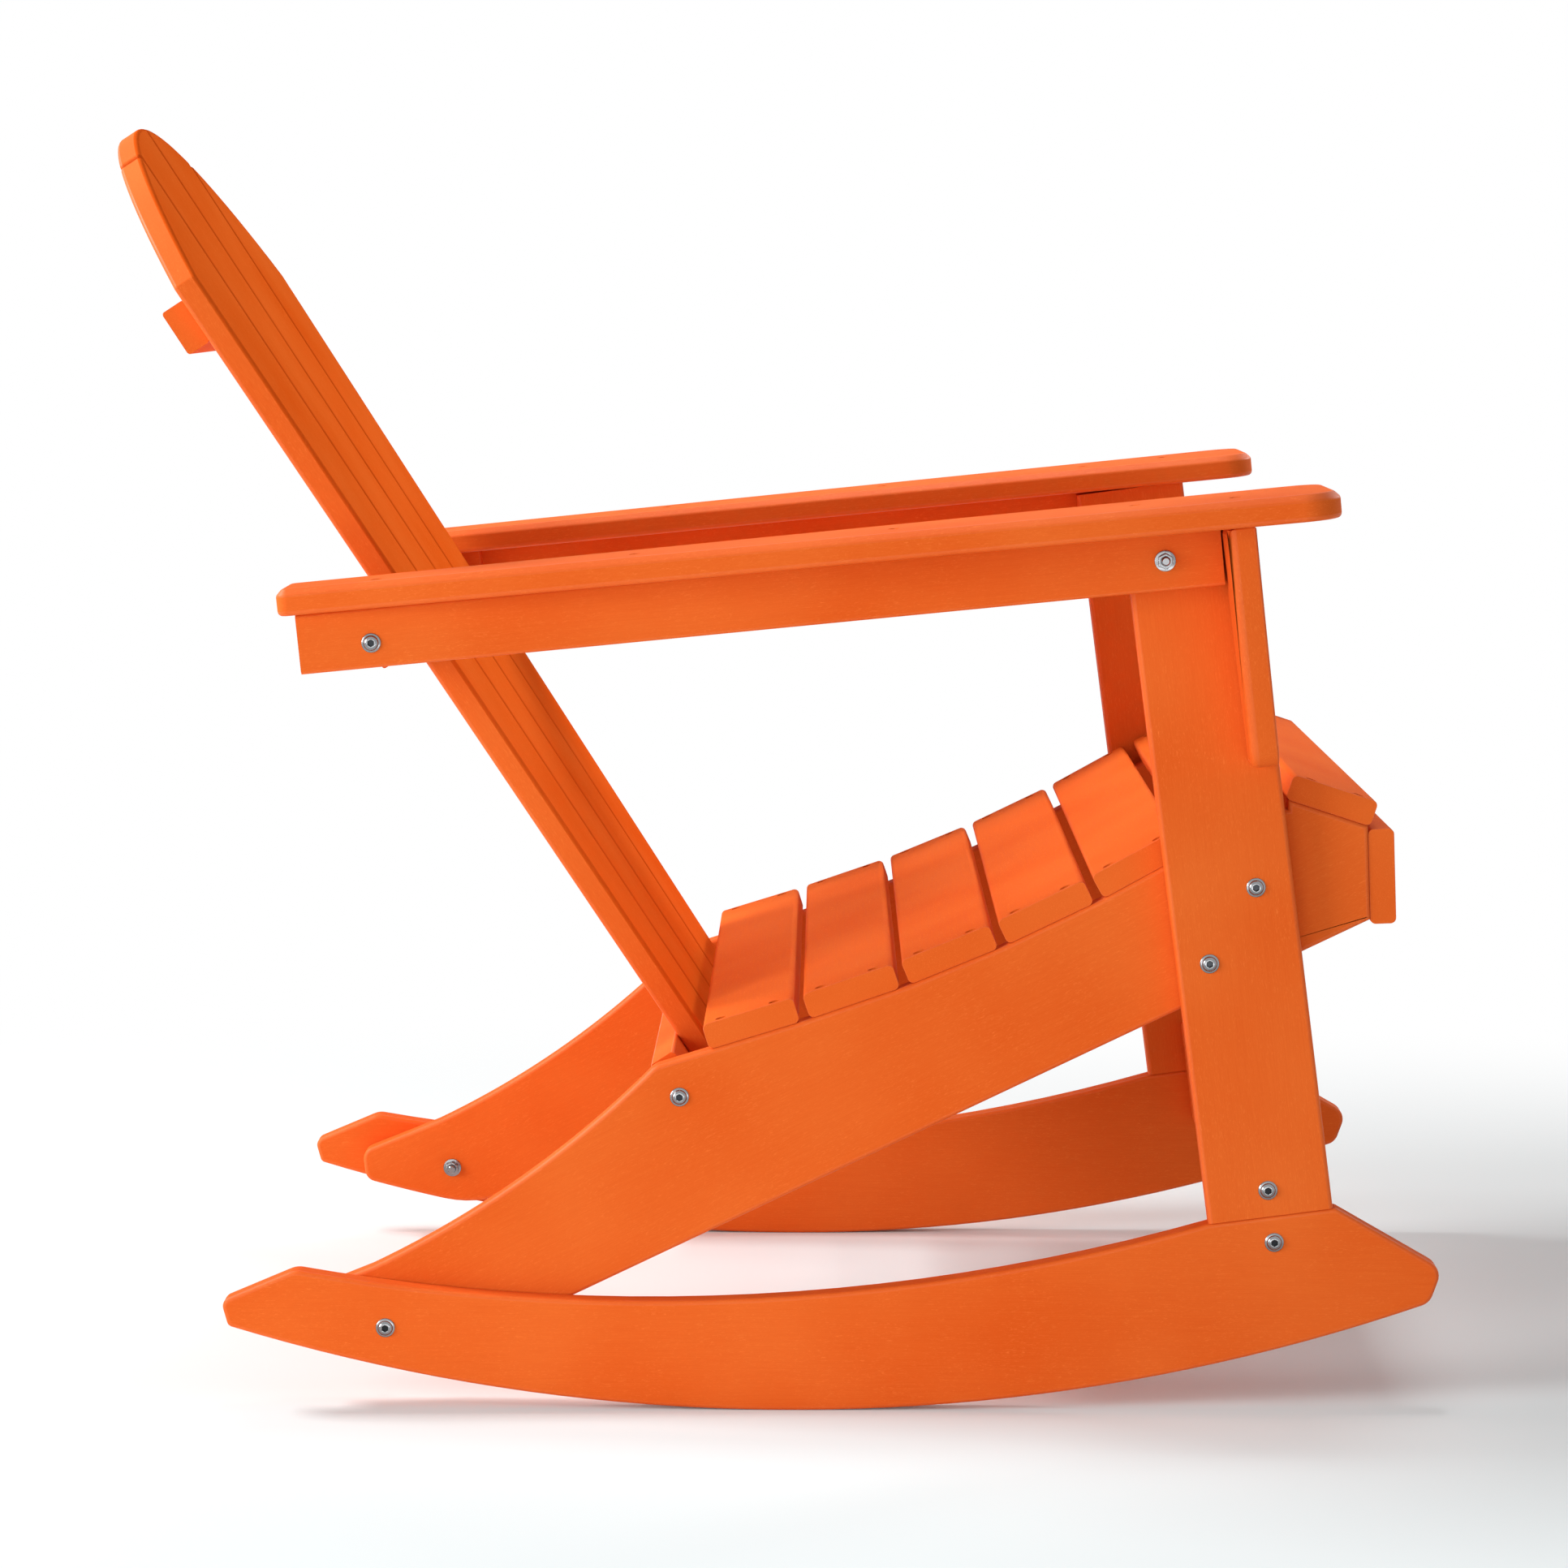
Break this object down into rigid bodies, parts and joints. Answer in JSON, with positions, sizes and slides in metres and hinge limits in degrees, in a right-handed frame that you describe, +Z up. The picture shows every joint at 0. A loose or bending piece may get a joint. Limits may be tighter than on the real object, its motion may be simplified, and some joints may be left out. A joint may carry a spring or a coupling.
{
  "type": "rocking adirondack chair",
  "caption": "Rocking adirondack chair of orange poly lumber: slatted contoured seat, fan-shaped arched back, flared arms, slanted front legs and curved rockers, held by steel bolts and screws.",
  "frame": {"origin": "centre of the chair's box in plan, on the floor that the rockers touch", "axes": "+Z up; the sitter faces -Y; +X is the sitter's left, across the chair, and the chair is mirrored about X = 0"},
  "size_m": [0.7964, 0.9731, 0.92],
  "materials": {
    "poly_lumber": "satin, with a fine brushed grain along each board",
    "steel_hardware": "polished stainless steel",
    "brass_inserts": "machined"
  },
  "bodies": {
    "root": {"rocker_right": "poly_lumber", "rocker_left": "poly_lumber", "front_leg_right": "poly_lumber", "front_leg_left": "poly_lumber", "leg_splice_right": "poly_lumber", "leg_splice_left": "poly_lumber", "side_rail_right": "poly_lumber", "side_rail_left": "poly_lumber", "seat_slat_1": "poly_lumber", "seat_slat_2": "poly_lumber", "seat_slat_3": "poly_lumber", "seat_slat_4": "poly_lumber", "seat_slat_5": "poly_lumber", "seat_slat_6": "poly_lumber", "seat_slat_7": "poly_lumber", "front_apron": "poly_lumber", "back_slat_1": "poly_lumber", "back_slat_2": "poly_lumber", "back_slat_3": "poly_lumber", "back_slat_4": "poly_lumber", "back_support_lower": "poly_lumber", "back_support_middle": "poly_lumber", "back_support_upper": "poly_lumber", "arm_right": "poly_lumber", "arm_left": "poly_lumber", "arm_support_right": "poly_lumber", "arm_support_left": "poly_lumber", "arm_spacer_right": "poly_lumber", "arm_spacer_left": "poly_lumber", "arm_bracket_right": "poly_lumber", "arm_bracket_left": "poly_lumber", "rocker_bolts": "steel_hardware", "leg_rail_bolts": "steel_hardware", "leg_splice_bolts": "steel_hardware", "lower_support_bolts": "steel_hardware", "rear_arm_bolts": "steel_hardware", "front_arm_bolts": "steel_hardware", "frame_washers": "steel_hardware", "frame_nuts": "steel_hardware", "support_inserts": "brass_inserts", "seat_screws": "steel_hardware", "apron_screws": "steel_hardware", "back_screws": "steel_hardware", "arm_screws": "steel_hardware", "bracket_screws": "steel_hardware"}
  },
  "joints": []
}
